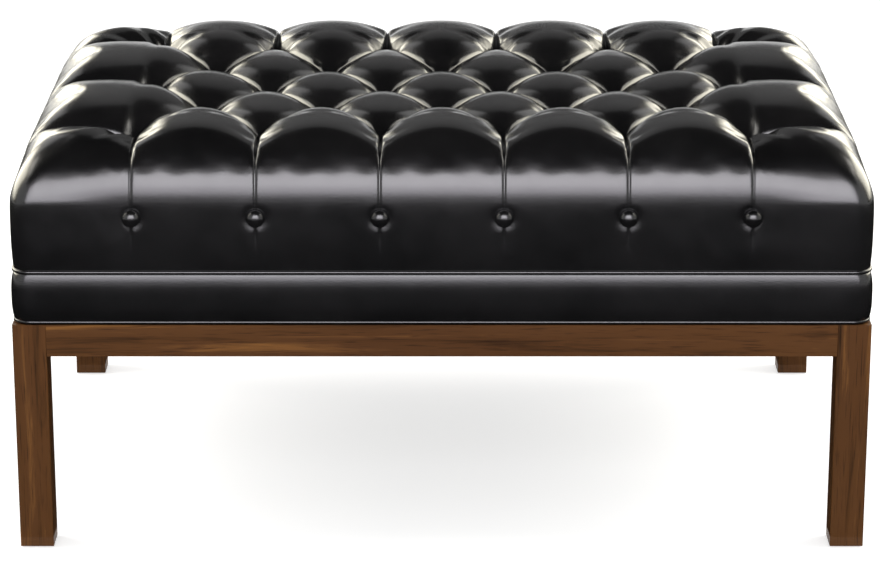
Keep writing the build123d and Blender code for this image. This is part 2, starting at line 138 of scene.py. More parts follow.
class MaterialGraph(NodeGraph):
    """A new material: patterns on Object coordinates that end in a Principled shader."""

    def __init__(self, name: str) -> None:
        """Start a material that holds only its output and its shader.

        Args:
            name: The material's name.
        """
        self.material = bpy.data.materials.new(name)
        self.material.use_nodes = True
        super().__init__(self.material.node_tree)
        output = self.add("ShaderNodeOutputMaterial")
        self.shader = self.add("ShaderNodeBsdfPrincipled")
        self.join(self.shader, "BSDF", output, "Surface")

    def feed(self, source: Node, output: str | int, socket: str) -> None:
        """Link a node's output to the shader."""
        self.join(source, output, self.shader, socket)

    def surface(self, **values: float | Colour) -> None:
        """Set plain values on the shader's own sockets.

        Args:
            **values: Socket names, with underscores for spaces, and their values.
        """
        for key, value in values.items():
            socket = self.shader.inputs[key.replace("_", " ")]
            socket.default_value = (*value, 1.0) if isinstance(value, tuple) else value

    def place(self, scale: Point = (1.0, 1.0, 1.0), turn: Point = (0.0, 0.0, 0.0)) -> Node:
        """Object coordinates, turned and then scaled.

        Args:
            scale: The scale on each axis after the turn.
            turn: The turn, in radians.

        Returns:
            The Mapping node, whose Vector output gives the coordinates.
        """
        turned = self.add("ShaderNodeMapping", {"Rotation": turn}, vector_type="POINT")
        scaled = self.add("ShaderNodeMapping", {"Scale": scale}, vector_type="POINT")
        self.join(self.add("ShaderNodeTexCoord"), "Object", turned, "Vector")
        self.join(turned, "Vector", scaled, "Vector")
        return scaled

    def noise(
        self,
        place: Node,
        scale: float,
        detail: float = 4.0,
        roughness: float = 0.5,
        distortion: float = 0.0,
    ) -> Node:
        """A noise pattern on given coordinates.

        Args:
            place: The node whose Vector output gives the coordinates.
            scale: Cells in one metre, before the coordinates' own scale.
            detail: How many finer layers are added.
            roughness: How strong these are.
            distortion: How far the pattern is pulled about.

        Returns:
            The noise node.
        """
        values = {"Scale": scale, "Detail": detail, "Roughness": roughness, "Distortion": distortion}
        node = self.add("ShaderNodeTexNoise", values)
        self.join(place, "Vector", node, "Vector")
        return node

    def ramp(self, source: Node, output: str, stops: Stops) -> Node:
        """A colour ramp over a value.

        Args:
            source: The node that gives the value.
            output: The name of its output.
            stops: Places from 0 to 1, each with its colour.

        Returns:
            The ramp node.
        """
        node = self.add("ShaderNodeValToRGB")
        elements = node.color_ramp.elements
        while len(elements) < len(stops):
            elements.new(0.5)
        for element, (position, colour) in zip(elements, stops):
            element.position = position
            element.color = (*colour, 1.0)
        self.join(source, output, node, "Fac")
        return node

    def spread(
        self,
        source: Node,
        output: str,
        low: float,
        high: float,
        start: float = 0.3,
        end: float = 0.7,
    ) -> Node:
        """A value taken from one range to another.

        Args:
            source: The node that gives the value.
            output: The name of its output.
            low: The result at the range's start.
            high: The result at the range's end.
            start: The value that gives low.
            end: The value that gives high.

        Returns:
            The Map Range node, whose output is Result.
        """
        values = {"From Min": start, "From Max": end, "To Min": low, "To Max": high}
        node = self.add("ShaderNodeMapRange", values)
        self.join(source, output, node, "Value")
        return node

    def bump(
        self,
        source: Node,
        output: str,
        height: float,
        strength: float = 1.0,
        under: Node | None = None,
    ) -> Node:
        """A bump from a value, over another bump if one is given.

        Args:
            source: The node that gives the height.
            output: The name of its output.
            height: The height of the bump, in metres.
            strength: How much of it is used.
            under: The bump that it lies on.

        Returns:
            The Bump node.
        """
        node = self.add("ShaderNodeBump", {"Strength": strength, "Distance": height})
        self.join(source, output, node, "Height")
        if under is not None:
            self.join(under, "Normal", node, "Normal")
        return node

    def tint(self, base: Node, output: int, over: Node, share: float = 1.0) -> Node:
        """One colour multiplied by a ramp's.

        Args:
            base: The node whose colour is tinted.
            output: The number of its colour output.
            over: The ramp it is multiplied by.
            share: How much of the tint is used.

        Returns:
            The Mix node, whose colour output has the number 2.
        """
        node = self.add("ShaderNodeMix", {0: share}, data_type="RGBA", blend_type="MULTIPLY")
        self.join(base, output, node, 6)
        self.join(over, "Color", node, 7)
        return node


# Finishes


@dataclass(frozen=True)
class Finish:
    """A named finish that knows how to paint its material."""

    name: str

    def paint(self, graph: MaterialGraph) -> None:
        """Add the finish's nodes."""
        raise NotImplementedError

    def material(self) -> bpy.types.Material:
        """Make the finish's material.

        Returns:
            The material.
        """
        graph = MaterialGraph(self.name)
        self.paint(graph)
        return graph.material


@dataclass(frozen=True)
class Leather(Finish):
    """Semi-gloss black leather with a fine pebble grain."""

    name: str = "black_leather"
    dark: Colour = (0.0042, 0.0042, 0.0046)
    light: Colour = (0.0085, 0.0082, 0.0088)
    smooth: float = 0.20
    rough: float = 0.26
    pebble_scale: float = 620.0
    pebble_height: float = 0.00012
    pebble_bend: float = 0.002
    pebble_softness: float = 0.6
    crease_height: float = 0.0009

    def paint(self, graph: MaterialGraph) -> None:
        """Add cloudy black, worn gloss, soft creases and pebbles.

        Args:
            graph: The material's graph.
        """
        place = graph.place()
        cloudy = graph.noise(place, scale=9.0, detail=5.0, roughness=0.6)
        colour = graph.ramp(cloudy, "Fac", ((0.35, self.dark), (0.68, self.light)))
        graph.feed(colour, "Color", "Base Color")
        worn = graph.noise(place, scale=34.0, detail=6.0, roughness=0.62)
        graph.feed(graph.spread(worn, "Fac", self.smooth, self.rough), "Result", "Roughness")
        bent = graph.noise(place, scale=260.0, detail=3.0)
        shifted = graph.add("ShaderNodeVectorMath", {1: (self.pebble_bend,) * 3}, operation="MULTIPLY_ADD")
        graph.join(bent, "Color", shifted, 0)
        graph.join(place, "Vector", shifted, 2)
        pebble = graph.add("ShaderNodeTexVoronoi", feature="SMOOTH_F1")
        pebble.inputs["Scale"].default_value = self.pebble_scale
        pebble.inputs["Smoothness"].default_value = self.pebble_softness
        graph.join(shifted, "Vector", pebble, "Vector")
        creases = graph.noise(place, scale=48.0, detail=5.0, roughness=0.55, distortion=0.8)
        soft = graph.bump(creases, "Fac", self.crease_height, strength=0.05)
        grain = graph.bump(pebble, "Distance", self.pebble_height, strength=0.4, under=soft)
        graph.feed(grain, "Normal", "Normal")
        graph.surface(Specular_IOR_Level=0.5, Coat_Weight=0.25, Coat_Roughness=0.14)


@dataclass(frozen=True)
class Walnut(Finish):
    """Satin walnut-stained hardwood, with long streaks and short dark pores."""

    grain: GrainAxis
    deep: Colour = (0.036, 0.0155, 0.0050)
    middle: Colour = (0.130, 0.051, 0.0115)
    warm: Colour = (0.310, 0.132, 0.026)
    shade: Colour = (0.62, 0.58, 0.56)
    pit: Colour = (0.35, 0.30, 0.28)
    pore_height: float = 0.00010

    def paint(self, graph: MaterialGraph) -> None:
        """Add streaks along the grain, broad shade and pores.

        Args:
            graph: The material's graph.
        """
        turn = self.grain.value
        streaks = graph.place((34.0, 34.0, 1.6), turn)
        bands = graph.place((9.0, 9.0, 0.9), turn)
        pores = graph.place((620.0, 620.0, 26.0), turn)
        streak = graph.noise(streaks, scale=2.2, detail=8.0, roughness=0.62, distortion=0.9)
        stops = ((0.30, self.deep), (0.46, self.middle), (0.58, self.middle), (0.74, self.warm))
        tone = graph.ramp(streak, "Fac", stops)
        cloud = graph.noise(bands, scale=1.7, detail=4.0, roughness=0.5, distortion=0.4)
        shade = graph.ramp(cloud, "Fac", ((0.25, self.shade), (0.75, (1.0, 1.0, 1.0))))
        pore = graph.noise(pores, scale=1.0, detail=2.0, roughness=0.5)
        pitted = graph.ramp(pore, "Fac", ((0.30, self.pit), (0.44, (1.0, 1.0, 1.0))))
        shaded = graph.tint(tone, 0, shade)
        graph.feed(graph.tint(shaded, 2, pitted, share=0.75), 2, "Base Color")
        graph.feed(graph.spread(streak, "Fac", 0.34, 0.50), "Result", "Roughness")
        graph.feed(graph.bump(pore, "Fac", self.pore_height, strength=0.5), "Normal", "Normal")
        graph.surface(Specular_IOR_Level=0.15, Coat_Weight=0.02, Coat_Roughness=0.28)


@dataclass(frozen=True)
class BareWood(Finish):
    """Unfinished hardwood and plywood of the hidden frame."""

    grain: GrainAxis
    pale: Colour = (0.56, 0.40, 0.235)
    brown: Colour = (0.36, 0.225, 0.115)
    fuzz_height: float = 0.0002

    def paint(self, graph: MaterialGraph) -> None:
        """Add streaks along the grain and raised fibres.

        Args:
            graph: The material's graph.
        """
        streaks = graph.place((60.0, 60.0, 3.0), self.grain.value)
        streak = graph.noise(streaks, scale=1.6, detail=7.0, roughness=0.6, distortion=0.6)
        tone = graph.ramp(streak, "Fac", ((0.32, self.brown), (0.62, self.pale)))
        graph.feed(tone, "Color", "Base Color")
        fuzz = graph.noise(streaks, scale=9.0, detail=3.0)
        graph.feed(graph.bump(fuzz, "Fac", self.fuzz_height, strength=0.5), "Normal", "Normal")
        graph.feed(graph.spread(streak, "Fac", 0.62, 0.80), "Result", "Roughness")


@dataclass(frozen=True)
class Foam(Finish):
    """Cream open-cell foam."""

    name: str = "seat_foam"
    cream: Colour = (0.78, 0.70, 0.47)
    # The darker colour is painted shade that stands for the cells' hollows, not a colour of the foam.
    painted_cell_shade: Colour = (0.62, 0.53, 0.33)
    cell_scale: float = 900.0
    cell_height: float = 0.0004

    def paint(self, graph: MaterialGraph) -> None:
        """Add cells, with painted shade that makes them darker in their middles.

        Args:
            graph: The material's graph.
        """
        place = graph.place()
        cells = graph.add("ShaderNodeTexVoronoi", feature="F1")
        cells.inputs["Scale"].default_value = self.cell_scale
        graph.join(place, "Vector", cells, "Vector")
        # The ramp's second colour paints shade into the cells; the foam itself is one cream.
        tone = graph.ramp(cells, "Distance", ((0.1, self.cream), (0.7, self.painted_cell_shade)))
        graph.feed(tone, "Color", "Base Color")
        graph.feed(graph.bump(cells, "Distance", self.cell_height, strength=0.8), "Normal", "Normal")
        yellowed = graph.noise(place, scale=12.0)
        graph.feed(graph.spread(yellowed, "Fac", 0.88, 0.97), "Result", "Roughness")


@dataclass(frozen=True)
class Weave(Finish):
    """A plain woven or twisted thread cloth: the black dust cover, or the tufting twine."""

    low: Colour
    high: Colour
    threads: float
    thread_height: float = 0.00015

    def paint(self, graph: MaterialGraph) -> None:
        """Add two crossed sets of threads.

        Args:
            graph: The material's graph.
        """
        place = graph.place((self.threads,) * 3)
        crossed = graph.add("ShaderNodeMath", operation="MULTIPLY")
        for number, direction in enumerate("XY"):
            values = {"Scale": 0.5, "Distortion": 0.6}
            threads = graph.add("ShaderNodeTexWave", values, wave_type="BANDS", bands_direction=direction)
            graph.join(place, "Vector", threads, "Vector")
            graph.join(threads, "Fac", crossed, number)
        tone = graph.ramp(crossed, "Value", ((0.05, self.low), (0.7, self.high)))
        graph.feed(tone, "Color", "Base Color")
        graph.feed(graph.bump(crossed, "Value", self.thread_height, strength=0.7), "Normal", "Normal")
        graph.surface(Roughness=0.9, Sheen_Weight=0.2)


@dataclass(frozen=True)
class ZincSteel(Finish):
    """Zinc-plated steel with turning marks."""

    name: str = "zinc_steel"
    dull: Colour = (0.50, 0.49, 0.46)
    bright: Colour = (0.68, 0.68, 0.66)

    def paint(self, graph: MaterialGraph) -> None:
        """Add fine marks to the colour and the gloss.

        Args:
            graph: The material's graph.
        """
        place = graph.place((900.0, 900.0, 120.0))
        marks = graph.noise(place, scale=1.0)
        graph.feed(graph.ramp(marks, "Fac", ((0.3, self.dull), (0.7, self.bright))), "Color", "Base Color")
        graph.feed(graph.spread(marks, "Fac", 0.26, 0.42), "Result", "Roughness")
        graph.surface(Metallic=1.0)


@dataclass(frozen=True)
class MouldedNylon(Finish):
    """Dark moulded nylon with a faint texture."""

    name: str = "moulded_nylon"
    dark: Colour = (0.030, 0.024, 0.020)
    light: Colour = (0.048, 0.040, 0.034)
    speckle_height: float = 0.00006

    def paint(self, graph: MaterialGraph) -> None:
        """Add fine speckles.

        Args:
            graph: The material's graph.
        """
        speckle = graph.noise(graph.place(), scale=700.0, detail=3.0)
        graph.feed(graph.ramp(speckle, "Fac", ((0.3, self.dark), (0.7, self.light))), "Color", "Base Color")
        graph.feed(graph.bump(speckle, "Fac", self.speckle_height, strength=0.6), "Normal", "Normal")
        graph.feed(graph.spread(speckle, "Fac", 0.42, 0.55), "Result", "Roughness")


# Mesh helpers


def deselect() -> None:
    """Leave no object selected."""
    bpy.ops.object.select_all(action="DESELECT")


def make_active(piece: Piece) -> None:
    """Select one object alone and make it the active one.

    Args:
        piece: The object.
    """
    deselect()
    piece.select_set(True)
    bpy.context.view_layer.objects.active = piece


def settle(piece: Piece) -> None:
    """Put an object's place, turn and scale into its mesh."""
    piece.data.transform(piece.matrix_world)
    piece.matrix_world = Matrix.Identity(4)


def mesh_piece(name: str, points: np.ndarray, faces: Sequence[Sequence[int]]) -> Piece:
    """Make a smooth-shaded mesh object from points and faces.

    Args:
        name: The piece's name.
        points: Its points, in metres.
        faces: Its faces, as point numbers.

    Returns:
        The new object.
    """
    mesh = bpy.data.meshes.new(name)
    mesh.from_pydata([tuple(p) for p in points.tolist()], [], [tuple(f) for f in faces])
    mesh.update()
    piece = bpy.data.objects.new(name, mesh)
    bpy.context.scene.collection.objects.link(piece)
    mesh.shade_smooth()
    return piece


def dress(piece: Piece, material: bpy.types.Material) -> None:
    """Give a piece one material all over."""
    piece.data.materials.clear()
    piece.data.materials.append(material)


def upholster(piece: Piece, name: str, leather: bpy.types.Material, node: str) -> None:
    """Name a piece, dress it in leather and let it ride on the body in the place of a CAD node.

    Args:
        piece: The piece.
        name: Its name.
        leather: The leather.
        node: The node that it stands for.
    """
    piece.name = name
    piece.data.name = name
    dress(piece, leather)
    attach(piece, ROOT_BODY)
    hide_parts(node)


def crowd(steps: int, pull: float) -> np.ndarray:
    """Shares from 0 to 1 that lie closer together towards both ends."""
    share = np.arange(steps + 1) / steps
    return share - pull * np.sin(2 * math.pi * share) / (2 * math.pi)


def ease(value: float | np.ndarray) -> np.ndarray:
    """A smooth step from 0 to 1 over values from 0 to 1."""
    held = np.clip(value, 0.0, 1.0)
    return held * held * (3.0 - 2.0 * held)


def pillow(share: np.ndarray, power: float | np.ndarray) -> np.ndarray:
    """How far a place is from the pleats on both its sides: 0 on them, 1 half way."""
    return np.clip(1.0 - np.abs(2.0 * share - 1.0) ** power, 0.0, 1.0)


# The tufted top


@dataclass(frozen=True)
class TuftPlan:
    """Sizes of the tufted top, as the CAD source has them, in metres."""

    half_length: float = 0.457
    half_depth: float = 0.305
    seam_level: float = 0.312
    crown_level: float = 0.459
    diamond_level: float = 0.4505
    seat_level: float = 0.4098
    shoulder: float = 0.070
    pitch: float = 0.131
    row: float = 0.093
    columns: int = 6
    rows: int = 5
    button_level: float = 0.372
    button_radius: float = 0.0095
    side_sink: float = 0.0015
    seam_draw: float = 0.002
    foam_inset: float = 0.020
    foam_height: float = 0.0803

    @property
    def tuft_half_length(self) -> float:
        """Half the distance between the first and the last column of tufts."""
        return self.pitch * (self.columns - 1) / 2

    @property
    def tuft_half_depth(self) -> float:
        """Half the distance between the first and the last row of tufts."""
        return self.row * (self.rows - 1) / 2

    @property
    def tuft_depth(self) -> float:
        """How far the tufts lie under the crown."""
        return self.crown_level - self.seat_level

    @property
    def diamond_side(self) -> float:
        """The distance between neighbouring tufts of two rows."""
        return math.hypot(self.pitch / 2, self.row)

    @property
    def turn_level(self) -> float:
        """The level at which the shoulder's arc meets the upright side."""
        return self.crown_level - self.shoulder

    def tufts(self) -> np.ndarray:
        """The tufts' places.

        Returns:
            One row of x and y for each tuft.
        """
        places = []
        for row in range(self.rows):
            count = self.columns - row % 2
            for column in range(count):
                x = self.pitch * (column - (count - 1) / 2)
                places.append((x, self.row * row - self.tuft_half_depth))
        return np.array(places)

    def side_pleats(self) -> dict[str, list[Point]]:
        """Where the straight pleats end in side buttons, on the plain side's face.

        Returns:
            The places on each side, by the side's name.
        """
        across = [self.pitch * c - self.tuft_half_length for c in range(self.columns)]
        along = [self.row * r - self.tuft_half_depth for r in range(0, self.rows, 2)]
        z = self.button_level
        return {
            "front": [(x, -self.half_depth, z) for x in across],
            "back": [(x, self.half_depth, z) for x in across],
            "left": [(-self.half_length, y, z) for y in along],
            "right": [(self.half_length, y, z) for y in along],
        }


@dataclass(frozen=True)
class MeshSteps:
    """How finely the cover is divided."""

    diamond: int = 40
    corner: int = 76
    flat: int = 16
    shoulder: int = 34
    side: int = 26


COARSE_STEPS = MeshSteps(diamond=14, corner=24, flat=6, shoulder=12, side=6)


@dataclass(frozen=True)
class PillowForm:
    """The shape of the pillows between tufts and of the folds between pillows."""

    power: float = 2.15
    crease_share: float = 0.50
    crease_curve: float = 0.60
    dome_curve: float = 0.70
    fold_depth: float = 0.0042
    fold_width: float = 0.0013
    lip_height: float = 0.0002
    lip_offset: float = 0.0042
    lip_width: float = 0.55

    def swell(self, first: np.ndarray, second: np.ndarray) -> np.ndarray:
        """The height share of a diamond: 0 at its tufts, 1 at its crown.

        Args:
            first: The place across one pair of pleats.
            second: The place across the other pair.

        Returns:
            The height shares.
        """
        one, two = pillow(first, self.power), pillow(second, self.power)
        a, b = one**self.crease_curve, two**self.crease_curve
        creases = self.crease_share * (a + b - a * b)
        return creases + (1.0 - self.crease_share) * (one * two) ** self.dome_curve

    def fold(self, distance: np.ndarray) -> np.ndarray:
        """The narrow fold along a pleat, with a low lip on either side.

        Args:
            distance: The distance from the pleat's line, in metres.

        Returns:
            The depth of the fold, below zero on the lips.
        """
        trench = self.fold_depth * np.exp(-((distance / self.fold_width) ** 2))
        beside = (distance - self.lip_offset) / (self.lip_width * self.lip_offset)
        return trench - self.lip_height * np.exp(-(beside**2))


@dataclass(frozen=True)
class BorderForm:
    """How the border turns down to the seam and how its straight pleats fade out, in metres."""

    spread_power: float = 1.5
    corner_share: float = 0.9
    corner_radius: float = 0.021
    corner_tightening: float = 0.004
    pleat_depth: float = 0.0205
    side_depth: float = 0.0012
    side_length: float = 0.042
    fading_angle: float = 1.05
    draw_slope: float = 0.1
    draw_power: int = 5
    ridge_curve: float = 0.80
    ridge_widths: tuple[float, float] = (0.75, 1.3)
    side_flatness: float = 3.0
    merge_length: float = 0.045
    well_length: float = 0.014
    fold_least: float = 0.08
    fold_fading: float = 0.6
    fold_end: float = 0.0007
    rounding_power: float = 1.70
    rounding_curve: float = 1.10
    rounding_drop: float = 0.009
    rounding_reach: float = 0.10
    rounding_slowing: float = 0.45
    rounding_blend: float = 0.32
    dimple_width: float = 0.0040
    dimple_reach: float = 6.0
    dimple_power: float = 1.2


@dataclass(frozen=True)
class RimPlace:
    """A place on the line round the outer tufts, and the part of the border that starts there."""

    x: float
    y: float
    side: int
    corner: bool
    share: float


@dataclass(frozen=True)
class BorderRing:
    """One ring of the plain border, and how deep its pleats are."""

    half_length: float
    half_depth: float
    corner: float
    level: float
    travelled: float
    depth: float
    top: float


@dataclass(frozen=True)
class BorderGrid:
    """The plain border: its points ring by ring, and rows or columns of what its pleats depend on."""

    points: np.ndarray
    share: np.ndarray
    corner: np.ndarray
    travelled: np.ndarray
    depths: np.ndarray
    tops: np.ndarray

    @property
    def aside(self) -> np.ndarray:
        """The distance from the nearer pleat, as a share of that between the two pleats."""
        return np.minimum(self.share, 1 - self.share)

    @cached_property
    def spans(self) -> np.ndarray:
        """The distance between the two pleats either side of each point.

        Returns:
            The distances.
        """
        closed = np.concatenate([self.points, self.points[:, :1]], axis=1)
        width = np.linalg.norm(np.diff(closed, axis=1), axis=2)
        starts = np.flatnonzero(self.share[0] == 0.0).tolist()
        spans = np.zeros_like(width)
        for start, end in zip(starts, [*starts[1:], width.shape[1]]):
            spans[:, start:end] = width[:, start:end].sum(axis=1, keepdims=True)
        return spans

    @cached_property
    def nearest(self) -> np.ndarray:
        """Each point's distance from the nearer of its two pleats."""
        return self.aside * self.spans

    @cached_property
    def normals(self) -> np.ndarray:
        """The ways that face straight out of the border.

        Returns:
            One unit vector for each point.
        """
        around = np.roll(self.points, -1, axis=1) - np.roll(self.points, 1, axis=1)
        normal = np.cross(around, np.gradient(self.points, axis=0))
        normal = normal / np.maximum(np.linalg.norm(normal, axis=2, keepdims=True), TINY)
        outward = self.points.copy()
        outward[:, :, 2] = 1.0
        facing = np.sign((normal * outward).sum(axis=2, keepdims=True))
        return normal * np.where(facing == 0, -1.0, facing)


@dataclass(frozen=True)
class Settling:
    """How the leather settles as cloth over its filling, and what holds it, in metres."""

    frames: int = 14
    most_swell: float = 0.0025
    neighbours: int = 5
    nearness: float = 0.0005
    free_rise: float = 0.015
    free_blend: float = 0.030
    tuft_hold: float = 0.013
    tuft_blend: float = 0.010

    def stiffen(self, cloth: bpy.types.ClothModifier) -> None:
        """Give a cloth the leather's stiffness and the filling's push.

        Args:
            cloth: The cloth.
        """
        settings = cloth.settings
        settings.quality = 4
        settings.mass = 0.35
        settings.tension_stiffness = 30.0
        settings.compression_stiffness = 20.0
        settings.shear_stiffness = 12.0
        settings.bending_stiffness = 0.8
        settings.shrink_min = -0.012
        settings.use_pressure = True
        settings.uniform_pressure_force = 3.0
        settings.effector_weights.gravity = 0.0
        cloth.collision_settings.use_collision = False
        cloth.collision_settings.use_self_collision = False


def spot(x: float, y: float) -> tuple[int, int]:
    """A place on the plan in whole micrometres, by which its point is found again."""
    return round(x * MICROMETRES), round(y * MICROMETRES)


@dataclass
class TuftedTop:
    """The leather cover: pillows between tufts, pleats over the shoulders and drawn-in sides."""

    plan: TuftPlan
    leather: bpy.types.Material
    steps: MeshSteps = MeshSteps()
    pillows: PillowForm = PillowForm()
    edge: BorderForm = BorderForm()
    settling: Settling = Settling()
    diamond_pull: float = 0.72
    corner_pull: float = 0.8
    outer_rise: float = 0.9
    softening: int = 30
    pocket_corner: float = 0.0005
    wrinkle_height: float = 0.0004
    wrinkle_length: float = 0.011
    wrinkle_reach: float = 0.045
    wrinkle_waves: tuple[Point, ...] = ((1.0, 11, 1.7), (0.7, 17, 2.9))
    fill: float = 0.85
    points: list[Point] = field(default_factory=list)
    faces: list[tuple[int, ...]] = field(default_factory=list)
    pinned: list[float] = field(default_factory=list)
    numbers: dict[tuple[int, int], int] = field(default_factory=dict)

    def point(self, x: float, y: float, z: float, pleat: float = 1.0) -> int:
        """Add a point.

        Args:
            x: Its x.
            y: Its y.
            z: Its z.
            pleat: Its distance from the nearest pleat, in metres.

        Returns:
            Its number.
        """
        self.points.append((x, y, z))
        self.pinned.append(1.0 if pleat < self.pillows.lip_offset else 0.0)
        return len(self.points) - 1

    def diamonds(self) -> None:
        """Add the diamonds and half diamonds inside the outer tufts."""
        plan = self.plan
        share = crowd(self.steps.diamond, self.diamond_pull)
        first, second = np.meshgrid(share, share, indexing="ij")
        height = self.pillows.swell(first, second)
        aside = np.minimum(np.minimum(first, 1 - first), np.minimum(second, 1 - second))
        nearest = aside * plan.diamond_side
        folds = self.pillows.fold(nearest)
        reach = plan.columns + plan.rows
        for a in range(-reach, reach):
            for b in range(-reach, reach):
                x = plan.pitch / 2 * (a + first + b + second) - plan.tuft_half_length
                y = plan.row * (a + first - b - second) - plan.tuft_half_depth
                edge = np.minimum(plan.tuft_half_length - np.abs(x), plan.tuft_half_depth - np.abs(y))
                inside = edge >= -TOUCH
                # A diamond that only touches the tufted area along a side adds nothing to it.
                if inside.sum() < 3 * self.steps.diamond:
                    continue
                rise = 1.0 - ease(edge / (self.outer_rise * plan.row))
                crown = plan.diamond_level + (plan.crown_level - plan.diamond_level) * rise
                z = plan.seat_level + (crown - plan.seat_level) * height - folds * (height > 0)
                self.cell(np.stack([x, y, z], axis=2), inside, nearest)

    def cell(self, grid: np.ndarray, inside: np.ndarray, nearest: np.ndarray) -> None:
        """Add one diamond's points and faces, or those of a half diamond inside the outer tufts.

        Args:
            grid: The diamond's points, in rows and columns.
            inside: Which of them are inside the outer tufts.
            nearest: Each point's distance from the nearest pleat.
        """
        number = np.full(inside.shape, -1)
        for i, j in np.argwhere(inside).tolist():
            x, y, z = grid[i, j].tolist()
            key = spot(x, y)
            if key not in self.numbers:
                self.numbers[key] = self.point(x, y, z, nearest[i, j])
            number[i, j] = self.numbers[key]
        for i in range(self.steps.diamond):
            for j in range(self.steps.diamond):
                corners = (number[i, j], number[i, j + 1], number[i + 1, j + 1], number[i + 1, j])
                kept = tuple(int(c) for c in corners if c >= 0)
                if len(kept) >= 3:
                    self.faces.append(kept)

    def rim(self) -> list[RimPlace]:
        """The line round the outer tufts, counterclockwise from the front left one.

        Returns:
            Its places, on a corner all at the corner's tuft.
        """
        plan = self.plan
        along = crowd(self.steps.diamond, self.diamond_pull)[:-1].tolist()
        round_corner = crowd(self.steps.corner, self.corner_pull)[:-1].tolist()
        hx, hy = plan.tuft_half_length, plan.tuft_half_depth
        wide, deep = (plan.columns - 1, plan.pitch), ((plan.rows - 1) // 2, 2 * plan.row)
        sides = (
            (*wide, (-hx, -hy), (1, 0)),
            (*deep, (hx, -hy), (0, 1)),
            (*wide, (hx, hy), (-1, 0)),
            (*deep, (-hx, hy), (0, -1)),
        )
        rim = []
        for side, (count, width, (x, y), (way_x, way_y)) in enumerate(sides):
            for column in range(count):
                for share in along:
                    run = width * (column + share)
                    rim.append(RimPlace(x + way_x * run, y + way_y * run, side, False, share))
            end_x, end_y = x + way_x * width * count, y + way_y * width * count
            rim.extend(RimPlace(end_x, end_y, side, True, share) for share in round_corner)
        return rim

    def ring(self, rim: Sequence[RimPlace], hx: float, hy: float, radius: float) -> np.ndarray:
        """One ring of plan places round the top.

        Args:
            rim: The line round the outer tufts.
            hx: The ring's half length.
            hy: The ring's half depth.
            radius: The radius of its corners.

        Returns:
            The ring's x and y, row by row.
        """
        plan = self.plan
        run_x, run_y = hx - plan.tuft_half_length - radius, hy - plan.tuft_half_depth - radius
        arc = radius * math.pi / 2
        total = run_x + arc + run_y
        ring = []
        for place in rim:
            forward = place.side % 2 == 0
            run = (place.share if forward else 1 - place.share) * total
            if not place.corner:
                x, y = (abs(place.x), hy) if forward else (hx, abs(place.y))
            elif run < run_x:
                x, y = plan.tuft_half_length + run, hy
            elif run < run_x + arc:
                angle = (run - run_x) / radius
                x = hx - radius + radius * math.sin(angle)
                y = hy - radius + radius * math.cos(angle)
            else:
                x, y = hx, hy - radius - (run - run_x - arc)
            ring.append((math.copysign(x, place.x), math.copysign(y, place.y)))
        return np.array(ring)

    def rings(self) -> list[BorderRing]:
        """The border's rings, outward over the top, round the shoulder and down to the seam.

        Returns:
            The rings.
        """
        plan, edge = self.plan, self.edge
        flat_x = plan.half_length - plan.shoulder - plan.tuft_half_length
        flat_y = plan.half_depth - plan.shoulder - plan.tuft_half_depth
        rings = []
        for step in range(1, self.steps.flat + 1):
            part = (step / self.steps.flat) ** edge.spread_power
            hx, hy = plan.tuft_half_length + flat_x * part, plan.tuft_half_depth + flat_y * part
            corner = edge.corner_share * flat_y * part
            rings.append(
                BorderRing(hx, hy, corner, plan.crown_level, flat_y * part, edge.pleat_depth, 1.0)
            )
        widening = edge.corner_share * (flat_y - edge.corner_radius / edge.corner_share)
        for step in range(1, self.steps.shoulder + 1):
            angle = math.pi / 2 * step / self.steps.shoulder
            inset = plan.shoulder * (1 - math.sin(angle))
            hx, hy, top = plan.half_length - inset, plan.half_depth - inset, math.cos(angle)
            corner = edge.corner_radius + widening * top**edge.spread_power
            level = plan.crown_level - plan.shoulder * (1 - top)
            fading = float(1.0 - ease(angle / edge.fading_angle))
            depth = edge.side_depth + (edge.pleat_depth - edge.side_depth) * fading
            rings.append(BorderRing(hx, hy, corner, level, flat_y + plan.shoulder * angle, depth, top))
        drop = plan.turn_level - plan.seam_level
        for step in range(1, self.steps.side + 1):
            part = step / self.steps.side
            level = plan.turn_level - drop * part
            pull = edge.draw_slope * part + (1 - edge.draw_slope) * part**edge.draw_power
            hx, hy = plan.half_length - plan.seam_draw * pull, plan.half_depth - plan.seam_draw * pull
            corner = edge.corner_radius - edge.corner_tightening * part
            travelled = flat_y + plan.shoulder * math.pi / 2 + drop * part
            depth = edge.side_depth * float(1.0 - ease((plan.button_level - level) / edge.side_length))
            rings.append(BorderRing(hx, hy, corner, level, travelled, depth, 0.0))
        return rings

    def border(self) -> None:
        """Add the border round the outer tufts, the shoulders, the sides, the seam and the foam's pocket."""
        rim, rings = self.rim(), self.rings()
        points = np.zeros((len(rings), len(rim), 3))
        for number, ring in enumerate(rings):
            points[number, :, :2] = self.ring(rim, ring.half_length, ring.half_depth, ring.corner)
            points[number, :, 2] = ring.level
        for _ in range(self.softening):
            points[1:-1] += 0.25 * (points[2:] + points[:-2] - 2.0 * points[1:-1])
        grid = BorderGrid(
            points=points,
            share=np.array([[place.share for place in rim]]),
            corner=np.array([[place.corner for place in rim]]),
            travelled=np.array([[ring.travelled] for ring in rings]),
            depths=np.array([[ring.depth] for ring in rings]),
            tops=np.array([[ring.top] for ring in rings]),
        )
        pressed = points - grid.normals * self.press(grid)[:, :, None]
        pleats = np.where(grid.depths > 0.0, grid.nearest, 1.0)
        previous = [self.numbers[spot(place.x, place.y)] for place in rim]
        for ring, distances in zip(pressed, pleats):
            current = [self.point(*place, pleat) for place, pleat in zip(ring, distances)]
            self.join_rings(previous, current)
            previous = current
        self.pocket(rim, previous)

